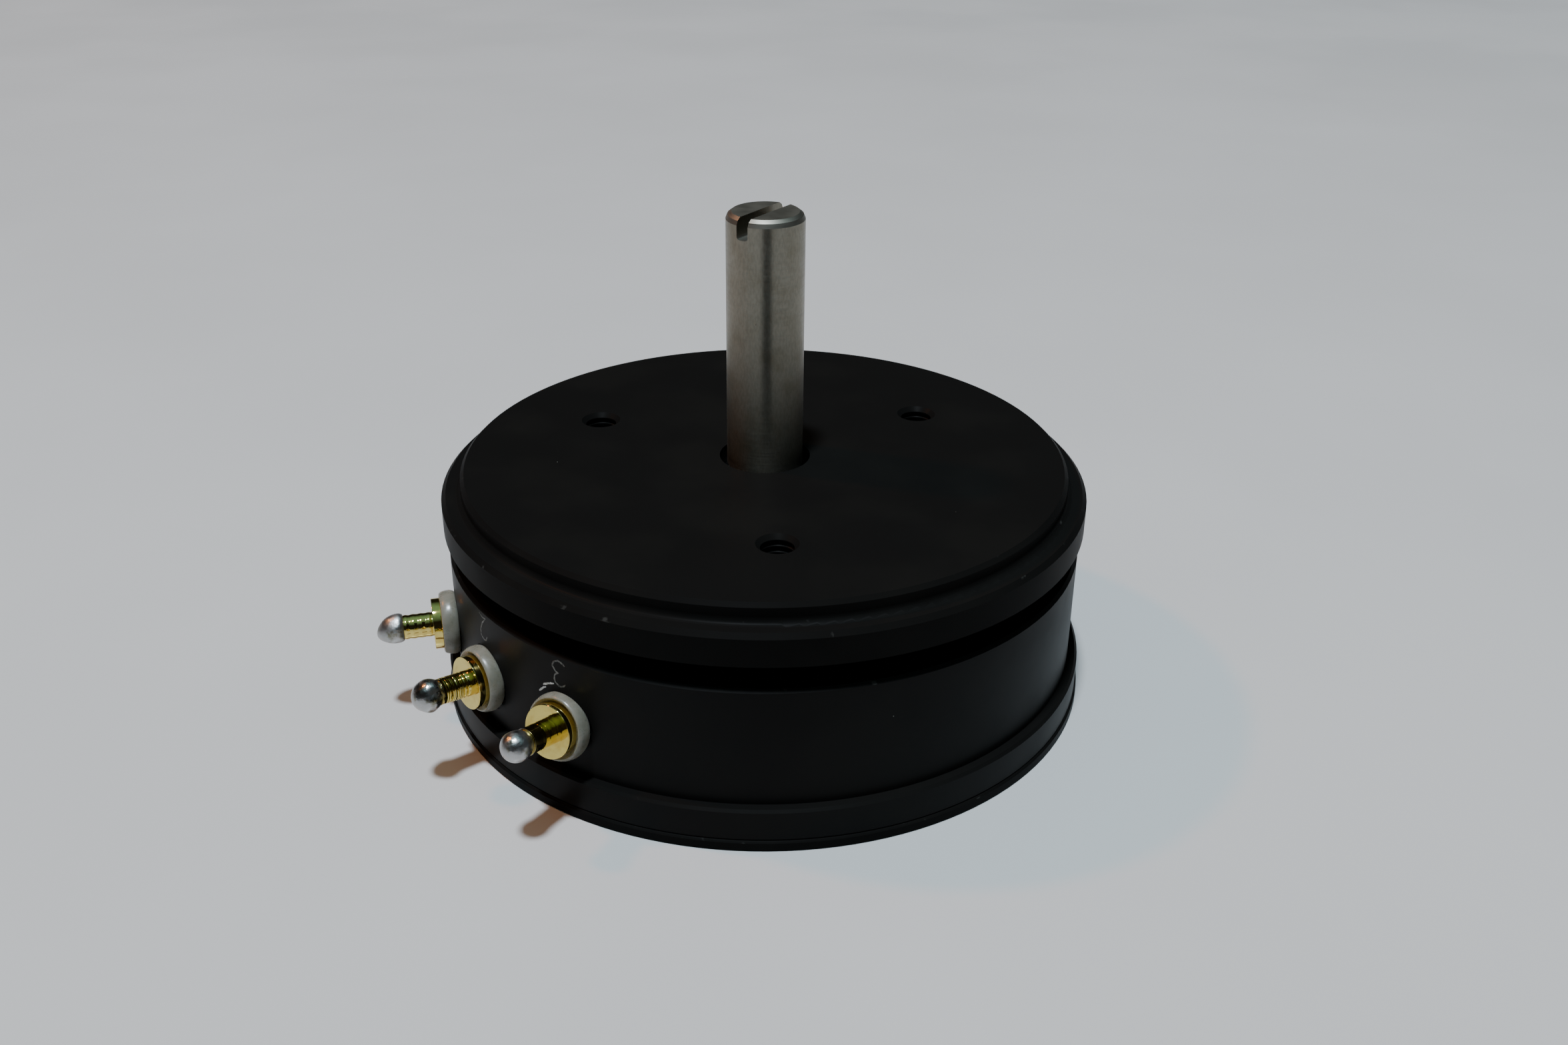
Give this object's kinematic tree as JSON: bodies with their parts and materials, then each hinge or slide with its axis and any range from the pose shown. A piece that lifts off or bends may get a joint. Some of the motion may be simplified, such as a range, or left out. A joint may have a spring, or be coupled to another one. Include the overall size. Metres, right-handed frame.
{
  "type": "rotary position sensor",
  "caption": "Servo-mount rotary position sensor: round black case with a clamp groove, slotted steel shaft on ball bearings, and gold turret terminals on one side.",
  "frame": {"origin": "centre of the rear face, on the shaft axis", "axes": "+Z along the shaft, out of the front face; one tapped mounting hole lies on -Y"},
  "size_m": [0.0571, 0.0524, 0.0387],
  "materials": {
    "black_anodised": "satin black anodised aluminium",
    "stainless_steel": "ground",
    "bearing_steel": "polished",
    "spring_steel": "rolled",
    "dark_steel": "black oxide",
    "gold_plate": "gold plated, turned",
    "solder": "tin solder",
    "white_insulator": "translucent white nylon",
    "machined_brass": "turned",
    "contact_alloy": "thin spring sheet",
    "moulded_plastic": "glass-filled moulding",
    "element_board": "laminate",
    "resistive_ink": "smooth printed carbon",
    "silver_ink": "printed silver",
    "seal_rubber": "matt"
  },
  "bodies": {
    "root": {"bearing_circlip": "spring_steel", "collector_track": "resistive_ink", "cover_ring": "black_anodised", "cover_screws": "dark_steel", "cover_seal": "seal_rubber", "element_conductors": "silver_ink", "element_screws": "stainless_steel", "element_substrate": "element_board", "front_bearing_outer_ring": "bearing_steel", "front_bearing_shields": "stainless_steel", "front_housing": "black_anodised", "preload_disc_spring": "spring_steel", "rear_bearing_outer_ring": "bearing_steel", "rear_bearing_shields": "stainless_steel", "rear_cover": "black_anodised", "resistive_track": "resistive_ink", "terminal_1_insulator": "white_insulator", "terminal_1_push_nut": "gold_plate", "terminal_1_solder": "solder", "terminal_1_turret": "gold_plate", "terminal_1_washer": "white_insulator", "terminal_1_wire": "solder", "terminal_2_insulator": "white_insulator", "terminal_2_push_nut": "gold_plate", "terminal_2_solder": "solder", "terminal_2_turret": "gold_plate", "terminal_2_washer": "white_insulator", "terminal_2_wire": "solder", "terminal_3_insulator": "white_insulator", "terminal_3_push_nut": "gold_plate", "terminal_3_solder": "solder", "terminal_3_turret": "gold_plate", "terminal_3_washer": "white_insulator", "terminal_3_wire": "solder"},
    "rotor": {"shaft": "stainless_steel", "shaft_spacer": "stainless_steel", "rotor_hub": "machined_brass", "hub_set_screws": "dark_steel", "wiper_carrier": "moulded_plastic", "carrier_retainer": "spring_steel", "track_wiper": "contact_alloy", "collector_wiper": "contact_alloy", "wiper_jumper": "contact_alloy", "wiper_rivet": "machined_brass", "front_bearing_inner_ring": "bearing_steel", "rear_bearing_inner_ring": "bearing_steel"},
    "front_ball_set": {"front_bearing_balls": "bearing_steel", "front_bearing_cage": "spring_steel"},
    "rear_ball_set": {"rear_bearing_balls": "bearing_steel", "rear_bearing_cage": "spring_steel"}
  },
  "joints": [
    {"name": "shaft_spin", "type": "hinge", "parent": "root", "child": "rotor", "pos_m": [0, 0, 0], "axis": [0, 0, 1], "continuous": true},
    {"name": "front_balls_orbit", "type": "hinge", "parent": "root", "child": "front_ball_set", "pos_m": [0, 0, 0.015], "axis": [0, 0, 1], "continuous": true},
    {"name": "rear_balls_orbit", "type": "hinge", "parent": "root", "child": "rear_ball_set", "pos_m": [0, 0, 0.0035], "axis": [0, 0, 1], "continuous": true}
  ],
  "couplings": [
    {"joint": "front_balls_orbit", "follows": "shaft_spin", "ratio": 0.38542},
    {"joint": "rear_balls_orbit", "follows": "shaft_spin", "ratio": 0.38923}
  ]
}
